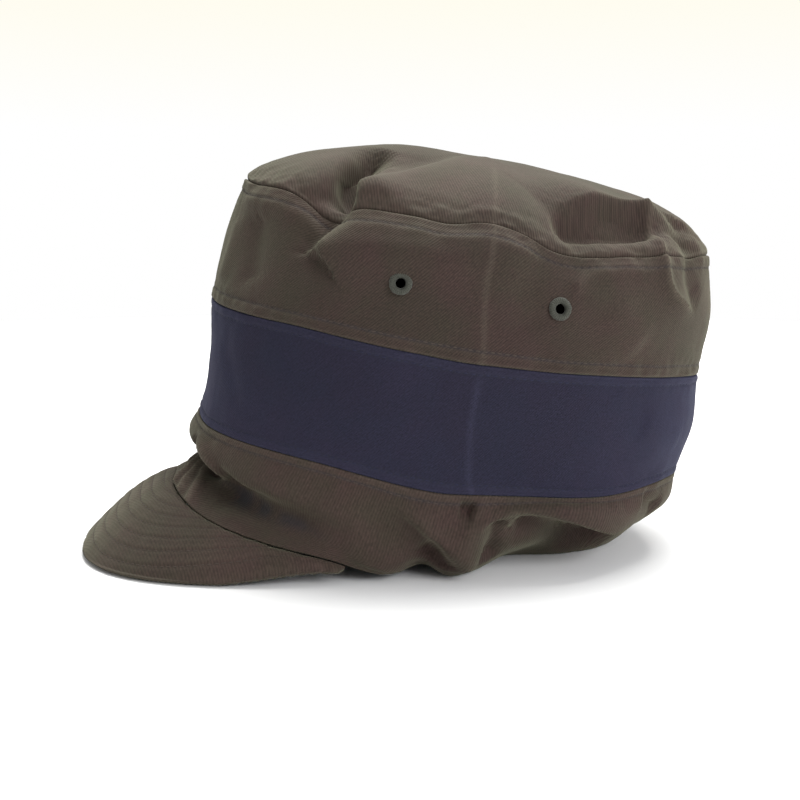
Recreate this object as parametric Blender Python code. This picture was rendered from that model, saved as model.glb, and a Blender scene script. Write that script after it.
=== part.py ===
"""A soft twill work cap lying by itself: front towards -Y, wearer's left towards +X, floor at Z = 0."""

import math

import bmesh
import bpy
import numpy as np
from mathutils import Matrix, Vector

# Driving dimensions, in metres
CROWN_LENGTH = 0.200
CROWN_WIDTH = 0.166
UPPER_HEIGHT = 0.048
BAND_HEIGHT = 0.046
BAND_LOW_HEIGHT = 0.039
LOWER_DROP = 0.026
DOME_HEIGHT = 0.025
DOME_FLATNESS = 2.3
DOME_SHOULDER = 0.72
CLOTH = 0.0018
SEAM_GAP = 0.0003
OVAL_POWER = 2.25
UPPER_FULLEST = 0.55
HEM_LYING = 0.3
LEAN_BACK = math.radians(9.2)

BRIM_HALF_ANGLE = math.radians(58)
BRIM_REACH = 0.037
BRIM_THICKNESS = 0.0030
BRIM_BULGE = 0.0040
BRIM_CORNER_POWER = 2.7
BRIM_FLARE = 0.002
BRIM_CORNER_SET = 0.003
BRIM_EDGE_THINNED = 0.6

EYELET_FLANGE = 0.0088
EYELET_BARREL = 0.0056
EYELET_HOLE = 0.0032
EYELET_RIM = 0.0011
EYELET_ROUNDING = 0.3
EYELETS = {
    # angle, share of the upper panel's height
    "eyelet_left_front": (66, 0.50),
    "eyelet_left_rear": (105, 0.55),
    "eyelet_right_front": (294, 0.50),
    "eyelet_right_rear": (255, 0.55),
}

# Facets
AROUND = 80
UPPER_ROWS = 5
BAND_ROWS = 3
LOWER_ROWS = 9
TOP_ROWS = 8
TOP_LAST_RING = 0.08
BRIM_COLUMNS = 32
BRIM_ROWS = 5
EYELET_SIDES = 16
CUTTER_WALLS = 6

# How far the wall stands out from the oval, by the angle round the head from the front towards the
# wearer's left, as shares of half the crown's width: at the top seam, in the upper panel, at the band's
# upper edge, in its middle and at its lower edge. The last columns are how far the top seam and the band's
# edges sag below the crown's own level there, as shares of BAND_HEIGHT.
CROWN_SECTIONS = [
    # angle, seam, upper, high, band, low, seam_sag, high_sag, low_sag
    (0, -0.080, -0.025, 0.000, -0.025, -0.015, -0.02, 0.00, 0.00),
    (15, -0.085, -0.030, 0.000, -0.010, -0.010, 0.02, 0.02, 0.04),
    (33, -0.100, -0.035, 0.000, 0.000, -0.005, 0.05, 0.03, 0.05),
    (43, -0.110, -0.035, 0.000, 0.000, 0.000, 0.14, 0.03, 0.05),
    (54, -0.100, -0.020, 0.000, 0.000, 0.000, 0.10, 0.05, 0.06),
    (65, -0.085, -0.010, 0.000, 0.005, 0.000, 0.09, 0.07, 0.09),
    (75, -0.075, 0.000, 0.000, 0.008, 0.000, 0.11, 0.08, 0.12),
    (84, -0.070, 0.000, 0.000, 0.010, 0.000, 0.06, 0.09, 0.13),
    (94, -0.065, 0.005, 0.005, 0.010, 0.000, 0.10, 0.08, 0.10),
    (104, -0.065, 0.010, 0.005, 0.010, 0.000, 0.18, 0.07, 0.07),
    (125, -0.060, 0.020, 0.010, 0.010, 0.000, 0.12, 0.03, 0.02),
    (150, -0.050, 0.010, 0.010, 0.030, 0.000, 0.03, -0.01, -0.13),
    (180, -0.070, 0.015, 0.005, 0.020, -0.030, 0.00, 0.00, -0.10),
    (215, -0.090, 0.020, 0.000, 0.000, -0.020, 0.06, 0.02, 0.00),
    (245, -0.060, 0.010, 0.005, 0.010, 0.000, 0.14, 0.05, 0.05),
    (270, -0.070, 0.000, 0.000, 0.010, 0.000, 0.07, 0.07, 0.10),
    (300, -0.080, -0.010, 0.000, 0.005, 0.000, 0.05, 0.06, 0.08),
    (322, -0.110, -0.030, 0.000, 0.000, -0.010, 0.10, 0.03, 0.05),
    (340, -0.085, -0.030, 0.000, -0.010, -0.010, 0.03, 0.02, 0.04),
]

# The lower panel below the band: a roll outwards, a pinch and the hem. Out and in are shares of half the
# crown's width, drops are shares of the way from the band down to the hem, and hem_up is the hem's height
# above the floor as a share of LOWER_DROP.
LOWER_SECTIONS = [
    # angle, roll_out, roll_drop, pinch_out, pinch_drop, hem_out, hem_up
    (0, 0.045, 0.32, -0.050, 0.66, 0.125, 1.12),
    (12, 0.045, 0.32, -0.060, 0.68, 0.135, 1.04),
    (25, 0.040, 0.32, -0.060, 0.70, 0.120, 0.82),
    (42, 0.020, 0.34, -0.020, 0.75, 0.060, 0.56),
    (56, 0.010, 0.35, 0.000, 0.80, 0.020, 0.38),
    (66, 0.010, 0.35, 0.000, 0.85, -0.050, 0.14),
    (78, 0.000, 0.40, -0.040, 0.88, -0.170, -0.02),
    (92, 0.010, 0.38, -0.050, 0.82, -0.280, -0.02),
    (108, 0.030, 0.25, -0.110, 0.75, -0.460, -0.02),
    (130, 0.020, 0.25, -0.130, 0.65, -0.460, -0.02),
    (155, -0.015, 0.30, -0.140, 0.60, -0.420, -0.02),
    (180, -0.050, 0.30, -0.140, 0.60, -0.400, -0.02),
    (215, -0.010, 0.32, -0.120, 0.65, -0.420, -0.02),
    (250, 0.010, 0.35, -0.080, 0.75, -0.340, -0.02),
    (275, 0.000, 0.38, -0.050, 0.82, -0.220, -0.02),
    (294, 0.010, 0.35, 0.000, 0.85, -0.050, 0.14),
    (304, 0.010, 0.35, 0.000, 0.80, 0.020, 0.38),
    (318, 0.020, 0.34, -0.020, 0.75, 0.060, 0.56),
    (335, 0.040, 0.32, -0.060, 0.70, 0.120, 0.82),
    (348, 0.045, 0.32, -0.060, 0.68, 0.135, 1.04),
]

# Dents and puffs of the top and of the wall just below its seam, laid out flat from the crown's middle:
# across towards the wearer's left and along towards the back, as shares of half the crown's width. Turned
# is the direction of the long way, from across towards along. Depth is a share of DOME_HEIGHT, inwards.
TOP_DENTS = [
    # across, along, half_wide, half_long, turned_deg, depth
    (0.46, -0.56, 0.15, 0.42, -48, 0.34),
    (0.74, -0.90, 0.10, 0.14, -48, 0.16),
    (0.84, -0.66, 0.12, 0.12, -40, -0.06),
    (0.58, 0.62, 0.17, 0.34, 128, 0.24),
    (0.30, 0.92, 0.22, 0.30, 0, -0.14),
    (0.10, -0.30, 0.25, 0.40, 20, -0.05),
    (-0.50, 0.45, 0.24, 0.40, 50, 0.20),
    (-0.62, -0.60, 0.16, 0.30, 55, 0.16),
]

# Dents and puffs of the wall. Level counts from the hem: 1 and 2 are the band's edges, 3 is the top seam.
WALL_DENTS = [
    # angle, level, half_wide_deg, half_high, depth
    (25, 2.55, 14, 0.30, 0.07),
    (140, 2.80, 10, 0.22, -0.06),
    (100, 0.55, 8, 0.18, 0.10),
    (275, 0.60, 10, 0.25, 0.10),
]

# The brim's outer edge: how far it stands above the floor, as a share of its reach.
BRIM_EDGE = [
    # turn, edge_up
    (-90, 0.16),
    (-75, 0.06),
    (-55, 0.00),
    (-30, 0.00),
    (0, 0.05),
    (30, 0.00),
    (55, 0.00),
    (75, 0.06),
    (90, 0.16),
]

HALF_LENGTH = CROWN_LENGTH / 2
HALF_WIDTH = CROWN_WIDTH / 2
BAND_LOW, BAND_HIGH, TOP_SEAM, TOP_MIDDLE = 1.0, 2.0, 3.0, 4.0
WALL_LEVELS = (0.0, 0.13, 0.42, 0.75, 1.0, 1.5, 2.0, 2.55, 3.0)
HEM_RAISED = 0.12
ROUND_STEP, UP_STEP = 0.5, 0.05


def hermite(keys, values, at):
    """Smooth curve through values at keys, read at the given places."""
    slopes = np.gradient(values, keys, axis=0)
    index = np.clip(np.searchsorted(keys, at) - 1, 0, len(keys) - 2)
    span = keys[index + 1] - keys[index]
    t = (at - keys[index]) / span
    shape = t.shape + (1,) * (values.ndim - 1)
    t, span = t.reshape(shape), span.reshape(shape)
    start, end = values[index], values[index + 1]
    return (
        start * (2 * t**3 - 3 * t**2 + 1)
        + slopes[index] * span * (t**3 - 2 * t**2 + t)
        + end * (3 * t**2 - 2 * t**3)
        + slopes[index + 1] * span * (t**3 - t**2)
    )


def columns_round(table, angles):
    """The columns of a table of sections at the given degrees, smoothly closed round the head."""
    rows = np.array(table, float)
    keys = np.concatenate([rows[-3:, 0] - 360, rows[:, 0], rows[:3, 0] + 360])
    values = np.concatenate([rows[-3:, 1:], rows[:, 1:], rows[:3, 1:]])
    return hermite(keys, values, np.mod(angles, 360)).T


def oval_radius(turn):
    """The crown's plain oval: its radius at an angle from the front, in radians."""
    across = np.abs(np.sin(turn)) / HALF_WIDTH
    along = np.abs(np.cos(turn)) / HALF_LENGTH
    return (across**OVAL_POWER + along**OVAL_POWER) ** (-1 / OVAL_POWER)


def ring_point(turn, out, height):
    """Points of the leaning crown: out from the oval in half widths, up from the band's foot."""
    radius = oval_radius(turn) + out * HALF_WIDTH
    x, y = radius * np.sin(turn), -radius * np.cos(turn)
    return np.stack(
        [
            x,
            y * math.cos(LEAN_BACK) + height * math.sin(LEAN_BACK),
            BAND_LOW_HEIGHT - y * math.sin(LEAN_BACK) + height * math.cos(LEAN_BACK),
        ],
        axis=-1,
    )


def wall_keys(degrees):
    """The levels at which the wall is set, and its points there."""
    turn = np.radians(degrees)
    seam, upper, high, band, low, seam_sag, high_sag, low_sag = columns_round(CROWN_SECTIONS, degrees)
    roll_out, roll_drop, pinch_out, pinch_drop, hem_out, hem_up = columns_round(LOWER_SECTIONS, degrees)
    outward = np.stack([np.sin(turn), -np.cos(turn), 0 * turn], axis=-1) * HALF_WIDTH
    foot = ring_point(turn, low, -low_sag * BAND_HEIGHT)
    hem = foot + outward * hem_out[:, None]
    hem[:, 2] = hem_up * LOWER_DROP
    drop = (hem - foot) * np.array([0.0, 0.0, 1.0])
    roll = foot + outward * roll_out[:, None] + drop * roll_drop[:, None]
    pinch = foot + outward * pinch_out[:, None] + drop * pinch_drop[:, None]
    high_level = BAND_HEIGHT * (1 - high_sag)
    seam_level = BAND_HEIGHT * (1 - seam_sag) + UPPER_HEIGHT
    lying = (pinch - hem) * HEM_LYING
    lying[:, 2] *= np.clip(hem_up / HEM_RAISED, 0, 1)
    points = [
        hem,
        hem + lying,
        pinch,
        roll,
        foot,
        ring_point(turn, band, (high_level - low_sag * BAND_HEIGHT) / 2),
        ring_point(turn, high, high_level),
        ring_point(turn, upper, high_level + (seam_level - high_level) * UPPER_FULLEST),
        ring_point(turn, seam, seam_level),
    ]
    return np.array(WALL_LEVELS), np.stack(points)


def plain_surface(degrees, level):
    """The outer side of the cloth before its dents, for arrays of angles and levels of one shape."""
    shape = degrees.shape
    degrees, level = degrees.ravel(), level.ravel()
    result = np.empty((degrees.size, 3))
    for value in np.unique(np.round(level, 9)):
        pick = np.round(level, 9) == value
        keys, points = wall_keys(degrees[pick])
        if value <= TOP_SEAM:
            result[pick] = hermite(keys, points, np.array([value]))[0]
            continue
        share = TOP_MIDDLE - value
        rise = DOME_HEIGHT * (1 - share**DOME_FLATNESS) ** DOME_SHOULDER
        axis = ring_point(0 * degrees[pick], -oval_radius(0.0) / HALF_WIDTH, BAND_HEIGHT + UPPER_HEIGHT)
        lean = np.array([0.0, math.sin(LEAN_BACK), math.cos(LEAN_BACK)])
        result[pick] = axis + (points[-1] - axis) * share + lean * rise
    return result.reshape(shape + (3,))


def dent_depth(degrees, level):
    """How far the cloth is pushed in, as a share of the dome's height."""
    turn = np.radians(degrees)
    radius = oval_radius(turn) / HALF_WIDTH * np.where(
        level > TOP_SEAM, TOP_MIDDLE - level, 1 + (TOP_SEAM - level) * UPPER_HEIGHT / HALF_WIDTH
    )
    across, along = radius * np.sin(turn), -radius * np.cos(turn)
    depth = np.zeros_like(degrees)
    for middle_across, middle_along, half_wide, half_long, turned, share in TOP_DENTS:
        x, y = across - middle_across, along - middle_along
        way = math.radians(turned)
        long_way = x * math.cos(way) + y * math.sin(way)
        wide_way = y * math.cos(way) - x * math.sin(way)
        depth += share * np.exp(-((long_way / half_long) ** 2) - (wide_way / half_wide) ** 2)
    for angle, height, half_wide, half_high, share in WALL_DENTS:
        around = (degrees - angle + 180) % 360 - 180
        depth += share * np.exp(-((around / half_wide) ** 2) - ((level - height) / half_high) ** 2)
    return depth


def facing(function, degrees, level):
    """Outward normals of a surface, from its small steps round and up."""
    high = np.minimum(level + UP_STEP, TOP_MIDDLE - UP_STEP)
    low = np.maximum(level - UP_STEP, 0)
    across = function(degrees + ROUND_STEP, level) - function(degrees - ROUND_STEP, level)
    along = function(degrees, high) - function(degrees, low)
    normal = np.cross(across, along)
    return normal / np.linalg.norm(normal, axis=-1, keepdims=True)


def surface(degrees, level):
    """The outer side of the cloth, with its dents, and flattened where it lies on the floor."""
    plain = plain_surface(degrees, level)
    inward = -facing(plain_surface, degrees, np.minimum(level, TOP_MIDDLE - UP_STEP))
    points = plain + inward * DOME_HEIGHT * dent_depth(degrees, level)[..., None]
    points[..., 2] = np.maximum(points[..., 2], 0)
    return points


def panel_grid(low, high, rows):
    """Outer and inner points of a panel between two levels, as rows of rings."""
    degrees, level = np.meshgrid(np.arange(AROUND) * 360 / AROUND, np.linspace(low, high, rows + 1))
    outer = surface(degrees, level)
    inner = outer - facing(surface, degrees, level) * CLOTH
    return outer, inner


def seam_trim(height):
    """Half of the seam gap, as a share of a panel's height."""
    return SEAM_GAP / 2 / height


def material(name, colour, roughness):
    made = bpy.data.materials.new(name)
    made.use_nodes = True
    shader = made.node_tree.nodes["Principled BSDF"]
    shader.inputs["Base Color"].default_value = (*colour, 1)
    shader.inputs["Roughness"].default_value = roughness
    shader.inputs["Metallic"].default_value = 0.0
    return made


def place(name, mesh_data, look):
    mesh = bpy.data.meshes.new(name)
    mesh_data.to_mesh(mesh)
    mesh_data.free()
    mesh.shade_smooth()
    piece = bpy.data.objects.new(name, mesh)
    bpy.context.scene.collection.objects.link(piece)
    mesh.materials.append(look)
    return piece


def add_rings(mesh, rings):
    """Rings of vertices, and the quads between each ring and the next."""
    made = [[mesh.verts.new(point) for point in ring] for ring in rings]
    for lower, upper in zip(made, made[1:]):
        for i in range(len(lower)):
            following = (i + 1) % len(lower)
            mesh.faces.new((lower[i], lower[following], upper[following], upper[i]))
    return made


def tube_panel(name, low, high, rows, look):
    """A ring of cloth with its two sides and its two raw edges."""
    outer, inner = panel_grid(low, high, rows)
    mesh = bmesh.new()
    made = add_rings(mesh, [*outer, *inner[::-1]])
    for i in range(AROUND):
        following = (i + 1) % AROUND
        mesh.faces.new((made[-1][i], made[-1][following], made[0][following], made[0][i]))
    bmesh.ops.recalc_face_normals(mesh, faces=mesh.faces)
    return place(name, mesh, look)


def top_panel(name, look):
    """The puffed top: a disc of cloth whose rings close at its middle."""
    low = TOP_SEAM + seam_trim(HALF_WIDTH)
    high = TOP_MIDDLE - TOP_LAST_RING
    outer, inner = panel_grid(low, high, TOP_ROWS)
    mesh = bmesh.new()
    made = add_rings(mesh, [*inner[::-1], *outer])
    for ring, points, turned in ((made[-1], outer[-1], False), (made[0], inner[-1], True)):
        middle = mesh.verts.new(points.mean(axis=0))
        for i in range(AROUND):
            pair = (ring[i], ring[(i + 1) % AROUND])
            mesh.faces.new((*(reversed(pair) if turned else pair), middle))
    bmesh.ops.recalc_face_normals(mesh, faces=mesh.faces)
    return place(name, mesh, look)


def brim_lines():
    """Top side of the brim as rows from its root to its outer edge."""
    share = np.linspace(-1, 1, BRIM_COLUMNS + 1)
    degrees = np.degrees(share * BRIM_HALF_ANGLE)
    level = np.zeros_like(degrees)
    root = surface(degrees, level)
    back = surface(degrees, level + UP_STEP / 2)
    away = root - back
    away /= np.linalg.norm(away, axis=-1, keepdims=True)
    root = root + away * SEAM_GAP
    corner = root[-1]
    turn = share * math.pi / 2
    edge_up = hermite(*np.array(BRIM_EDGE, float).T, np.degrees(turn))
    power = 2 / BRIM_CORNER_POWER
    length = root[:, 1].max() - root[:, 1].min() + BRIM_REACH
    edge = np.stack(
        [
            np.sign(turn) * np.abs(np.sin(turn)) ** power * (corner[0] + BRIM_FLARE),
            corner[1] - BRIM_CORNER_SET - np.abs(np.cos(turn)) ** power * (length - BRIM_CORNER_SET),
            edge_up * BRIM_REACH,
        ],
        axis=-1,
    )
    rows = []
    for step in np.linspace(0, 1, BRIM_ROWS + 1):
        line = root + (edge - root) * step
        width = np.linalg.norm(edge - root, axis=-1)
        line[:, 2] += BRIM_BULGE * 4 * step * (1 - step) * width / width.max()
        rows.append(line)
    return np.array(rows)


def brim(look):
    """The peak: a stiff arched sheet with an even thickness, closed round its edge."""
    top = brim_lines()
    across = np.gradient(top, axis=1)
    along = np.gradient(top, axis=0)
    up = np.cross(along, across)
    up /= np.linalg.norm(up, axis=-1, keepdims=True)
    up *= np.where(up[..., 2:] < 0, -1, 1)
    under = top - up * BRIM_THICKNESS
    under[..., 2] = np.maximum(under[..., 2], 0)
    top[..., 2] = np.maximum(top[..., 2], under[..., 2] + BRIM_THICKNESS * BRIM_EDGE_THINNED)
    mesh = bmesh.new()
    sides = [[[mesh.verts.new(point) for point in row] for row in side] for side in (top, under)]
    for grid in sides:
        for i in range(BRIM_ROWS):
            for j in range(BRIM_COLUMNS):
                mesh.faces.new((grid[i][j], grid[i][j + 1], grid[i + 1][j + 1], grid[i + 1][j]))
    border = [(0, j) for j in range(BRIM_COLUMNS)]
    border += [(i, BRIM_COLUMNS) for i in range(BRIM_ROWS)]
    border += [(BRIM_ROWS, j) for j in range(BRIM_COLUMNS, 0, -1)]
    border += [(i, 0) for i in range(BRIM_ROWS, 0, -1)]
    for (i, j), (m, n) in zip(border, border[1:] + border[:1]):
        mesh.faces.new((sides[0][i][j], sides[0][m][n], sides[1][m][n], sides[1][i][j]))
    bmesh.ops.recalc_face_normals(mesh, faces=mesh.faces)
    return place("brim", mesh, look)


def eyelet_frame(degrees, height):
    """Where an eyelet sits, with its axis standing out of the wall."""
    at = np.array([float(degrees)]), np.array([BAND_HIGH + height])
    middle = Vector(surface(*at)[0])
    outward = Vector(facing(surface, *at)[0])
    turn = outward.to_track_quat("Z", "Y").to_matrix().to_4x4()
    return Matrix.Translation(middle) @ turn


def turned(profile, sides):
    """A closed profile of radius and height, turned round its axis."""
    mesh = bmesh.new()
    rings = []
    for radius, height in profile:
        turns = [2 * math.pi * i / sides for i in range(sides)]
        rings.append([(radius * math.cos(a), radius * math.sin(a), height) for a in turns])
    made = add_rings(mesh, rings)
    for i in range(sides):
        following = (i + 1) % sides
        mesh.faces.new((made[-1][i], made[-1][following], made[0][following], made[0][i]))
    bmesh.ops.recalc_face_normals(mesh, faces=mesh.faces)
    return mesh


def eyelet(name, spot, look):
    """A ring of thread with a flange on the cloth and a barrel through it."""
    flange, barrel, hole = EYELET_FLANGE / 2, EYELET_BARREL / 2, EYELET_HOLE / 2
    profile = [
        (hole, -CLOTH),
        (barrel, -CLOTH),
        (barrel, SEAM_GAP),
        (flange, SEAM_GAP),
        (flange - EYELET_RIM * EYELET_ROUNDING, EYELET_RIM),
        (hole + EYELET_RIM * EYELET_ROUNDING, EYELET_RIM),
    ]
    piece = place(name, turned(profile, EYELET_SIDES), look)
    piece.matrix_world = eyelet_frame(*spot)
    return piece


def eyelet_cutter(name, spot):
    radius = EYELET_BARREL / 2 + SEAM_GAP
    mesh = bmesh.new()
    bmesh.ops.create_cone(
        mesh, cap_ends=True, segments=EYELET_SIDES, radius1=radius, radius2=radius, depth=CLOTH * CUTTER_WALLS
    )
    cutter = bpy.data.objects.new(name, bpy.data.meshes.new(name))
    mesh.to_mesh(cutter.data)
    mesh.free()
    bpy.context.scene.collection.objects.link(cutter)
    cutter.matrix_world = eyelet_frame(*spot)
    cutter.hide_render = True
    cutter.display_type = "WIRE"
    return cutter


def pierce(panel, cutter):
    cut = panel.modifiers.new(cutter.name, "BOOLEAN")
    cut.operation = "DIFFERENCE"
    cut.solver = "EXACT"
    cut.object = cutter


def centre_on_floor(pieces):
    """Moves all objects together, so that the origin is the middle of the cap's foot."""
    bpy.context.view_layer.update()
    shown = [piece for piece in pieces if not piece.hide_render]
    points = np.array([piece.matrix_world @ v.co for piece in shown for v in piece.data.vertices])
    low, high = points.min(axis=0), points.max(axis=0)
    middle = Vector((*((low + high) / 2)[:2], low[2]))
    for piece in pieces:
        piece.location = piece.location - middle


def build():
    for old in list(bpy.data.objects):
        bpy.data.objects.remove(old, do_unlink=True)
    olive = material("olive twill", (0.065, 0.050, 0.040), 0.9)
    navy = material("navy twill", (0.024, 0.022, 0.045), 0.9)
    thread = material("grey green thread", (0.070, 0.070, 0.052), 0.8)

    upper = tube_panel(
        "upper_panel",
        BAND_HIGH + seam_trim(UPPER_HEIGHT),
        TOP_SEAM - seam_trim(UPPER_HEIGHT),
        UPPER_ROWS,
        olive,
    )
    pieces = [
        top_panel("crown_top", olive),
        upper,
        tube_panel(
            "middle_band",
            BAND_LOW + seam_trim(BAND_HEIGHT),
            BAND_HIGH - seam_trim(BAND_HEIGHT),
            BAND_ROWS,
            navy,
        ),
        tube_panel("lower_panel", 0.0, BAND_LOW - seam_trim(LOWER_DROP), LOWER_ROWS, olive),
        brim(olive),
    ]
    for name, spot in EYELETS.items():
        pieces.append(eyelet(name, spot, thread))
        pieces.append(eyelet_cutter("hole_for_" + name, spot))
        pierce(upper, pieces[-1])
    centre_on_floor(pieces)


build()
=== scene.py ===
import math

import bpy
import numpy as np
from mathutils import Matrix, Vector


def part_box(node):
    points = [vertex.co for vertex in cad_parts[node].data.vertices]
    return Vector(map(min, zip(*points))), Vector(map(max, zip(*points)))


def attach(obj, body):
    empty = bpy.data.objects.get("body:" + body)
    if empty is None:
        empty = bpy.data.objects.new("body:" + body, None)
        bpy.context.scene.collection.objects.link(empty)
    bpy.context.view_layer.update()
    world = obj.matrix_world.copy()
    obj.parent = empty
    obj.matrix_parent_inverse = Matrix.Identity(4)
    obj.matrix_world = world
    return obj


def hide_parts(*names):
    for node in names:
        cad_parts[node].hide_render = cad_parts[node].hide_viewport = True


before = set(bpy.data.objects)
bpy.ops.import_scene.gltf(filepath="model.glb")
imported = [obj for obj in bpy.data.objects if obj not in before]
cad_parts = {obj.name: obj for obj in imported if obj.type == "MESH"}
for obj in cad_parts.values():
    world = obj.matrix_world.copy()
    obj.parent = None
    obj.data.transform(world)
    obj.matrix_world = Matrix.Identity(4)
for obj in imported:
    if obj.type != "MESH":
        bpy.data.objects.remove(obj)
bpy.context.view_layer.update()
print("frame loaded:", len(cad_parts), "solids")

# The cap's cut, in metres, the same as in the solids. Angles run from the front towards the wearer's left.
# Levels on the cloth: 0 hem, 1 foot of the band, 2 top of the band, 3 top seam, 4 middle of the top.
capCut = {
    "halfLength": 0.100,
    "halfWidth": 0.083,
    "upperHeight": 0.048,
    "bandHeight": 0.046,
    "footHeight": 0.039,
    "lowerDrop": 0.026,
    "domeHeight": 0.025,
    "domeFlatness": 2.3,
    "domeShoulder": 0.72,
    "ovalPower": 2.25,
    "upperFullest": 0.55,
    "hemLying": 0.3,
    "hemRaised": 0.12,
    "leanBack": math.radians(9.2),
    "wallLevels": (0.0, 0.13, 0.42, 0.75, 1.0, 1.5, 2.0, 2.55, 3.0),
}

# outs as shares of half the width, sags as shares of the band's height
crownSections = [
    # angle, seam, upper, high, band, low, seamSag, highSag, lowSag
    (0, -0.080, -0.025, 0.000, -0.025, -0.015, -0.02, 0.00, 0.00),
    (15, -0.085, -0.030, 0.000, -0.010, -0.010, 0.02, 0.02, 0.04),
    (33, -0.100, -0.035, 0.000, 0.000, -0.005, 0.05, 0.03, 0.05),
    (43, -0.110, -0.035, 0.000, 0.000, 0.000, 0.14, 0.03, 0.05),
    (54, -0.100, -0.020, 0.000, 0.000, 0.000, 0.10, 0.05, 0.06),
    (65, -0.085, -0.010, 0.000, 0.005, 0.000, 0.09, 0.07, 0.09),
    (75, -0.075, 0.000, 0.000, 0.008, 0.000, 0.11, 0.08, 0.12),
    (84, -0.070, 0.000, 0.000, 0.010, 0.000, 0.06, 0.09, 0.13),
    (94, -0.065, 0.005, 0.005, 0.010, 0.000, 0.10, 0.08, 0.10),
    (104, -0.065, 0.010, 0.005, 0.010, 0.000, 0.18, 0.07, 0.07),
    (125, -0.060, 0.020, 0.010, 0.010, 0.000, 0.12, 0.03, 0.02),
    (150, -0.050, 0.010, 0.010, 0.030, 0.000, 0.03, -0.01, -0.13),
    (180, -0.070, 0.015, 0.005, 0.020, -0.030, 0.00, 0.00, -0.10),
    (215, -0.090, 0.020, 0.000, 0.000, -0.020, 0.06, 0.02, 0.00),
    (245, -0.060, 0.010, 0.005, 0.010, 0.000, 0.14, 0.05, 0.05),
    (270, -0.070, 0.000, 0.000, 0.010, 0.000, 0.07, 0.07, 0.10),
    (300, -0.080, -0.010, 0.000, 0.005, 0.000, 0.05, 0.06, 0.08),
    (322, -0.110, -0.030, 0.000, 0.000, -0.010, 0.10, 0.03, 0.05),
    (340, -0.085, -0.030, 0.000, -0.010, -0.010, 0.03, 0.02, 0.04),
]

# outs as shares of half the width, drops as shares of the way down to the hem
lowerSections = [
    # angle, rollOut, rollDrop, pinchOut, pinchDrop, hemOut, hemUp
    (0, 0.045, 0.32, -0.050, 0.66, 0.125, 1.12),
    (12, 0.045, 0.32, -0.060, 0.68, 0.135, 1.04),
    (25, 0.040, 0.32, -0.060, 0.70, 0.120, 0.82),
    (42, 0.020, 0.34, -0.020, 0.75, 0.060, 0.56),
    (56, 0.010, 0.35, 0.000, 0.80, 0.020, 0.38),
    (66, 0.010, 0.35, 0.000, 0.85, -0.050, 0.14),
    (78, 0.000, 0.40, -0.040, 0.88, -0.170, -0.02),
    (92, 0.010, 0.38, -0.050, 0.82, -0.280, -0.02),
    (108, 0.030, 0.25, -0.110, 0.75, -0.460, -0.02),
    (130, 0.020, 0.25, -0.130, 0.65, -0.460, -0.02),
    (155, -0.015, 0.30, -0.140, 0.60, -0.420, -0.02),
    (180, -0.050, 0.30, -0.140, 0.60, -0.400, -0.02),
    (215, -0.010, 0.32, -0.120, 0.65, -0.420, -0.02),
    (250, 0.010, 0.35, -0.080, 0.75, -0.340, -0.02),
    (275, 0.000, 0.38, -0.050, 0.82, -0.220, -0.02),
    (294, 0.010, 0.35, 0.000, 0.85, -0.050, 0.14),
    (304, 0.010, 0.35, 0.000, 0.80, 0.020, 0.38),
    (318, 0.020, 0.34, -0.020, 0.75, 0.060, 0.56),
    (335, 0.040, 0.32, -0.060, 0.70, 0.120, 0.82),
    (348, 0.045, 0.32, -0.060, 0.68, 0.135, 1.04),
]

# laid out flat from the crown's middle, in half widths, depth as a share of the dome's height, inwards
topDents = [
    # across, along, halfWide, halfLong, turnedDeg, depth
    (0.46, -0.56, 0.15, 0.42, -48, 0.34),
    (0.74, -0.90, 0.10, 0.14, -48, 0.16),
    (0.84, -0.66, 0.12, 0.12, -40, -0.06),
    (0.58, 0.62, 0.17, 0.34, 128, 0.24),
    (0.30, 0.92, 0.22, 0.30, 0, -0.14),
    (0.10, -0.30, 0.25, 0.40, 20, -0.05),
    (-0.50, 0.45, 0.24, 0.40, 50, 0.20),
    (-0.62, -0.60, 0.16, 0.30, 55, 0.16),
]

wallDents = [
    # angle, level, halfWideDeg, halfHigh, depth
    (25, 2.55, 14, 0.30, 0.07),
    (140, 2.80, 10, 0.22, -0.06),
    (100, 0.55, 8, 0.18, 0.10),
    (275, 0.60, 10, 0.25, 0.10),
]


def smoothCurve(keys, values, at):
    # a smooth curve through the values at the keys
    slopes = np.gradient(values, keys, axis=0)
    index = np.clip(np.searchsorted(keys, at) - 1, 0, len(keys) - 2)
    span = keys[index + 1] - keys[index]
    t = (at - keys[index]) / span
    shape = t.shape + (1,) * (values.ndim - 1)
    t, span = t.reshape(shape), span.reshape(shape)
    return (
        values[index] * (2 * t**3 - 3 * t**2 + 1)
        + slopes[index] * span * (t**3 - 2 * t**2 + t)
        + values[index + 1] * (3 * t**2 - 2 * t**3)
        + slopes[index + 1] * span * (t**3 - t**2)
    )


def columnsRound(table, degrees):
    # a table's columns, led smoothly round the cap
    rows = np.array(table, float)
    keys = np.concatenate([rows[-3:, 0] - 360, rows[:, 0], rows[:3, 0] + 360])
    values = np.concatenate([rows[-3:, 1:], rows[:, 1:], rows[:3, 1:]])
    return smoothCurve(keys, values, np.mod(degrees, 360)).T


def ovalRadius(turn):
    # the head's oval, somewhat squarer than an ellipse
    across = np.abs(np.sin(turn)) / capCut["halfWidth"]
    along = np.abs(np.cos(turn)) / capCut["halfLength"]
    power = capCut["ovalPower"]
    return (across**power + along**power) ** (-1 / power)


def ringPoint(turn, out, height):
    # a place on the leaning crown, out from the oval and up from its foot
    radius = ovalRadius(turn) + out * capCut["halfWidth"]
    x, y = radius * np.sin(turn), -radius * np.cos(turn)
    lean, rise = math.sin(capCut["leanBack"]), math.cos(capCut["leanBack"])
    return np.stack([x, y * rise + height * lean, capCut["footHeight"] - y * lean + height * rise], axis=-1)


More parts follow.
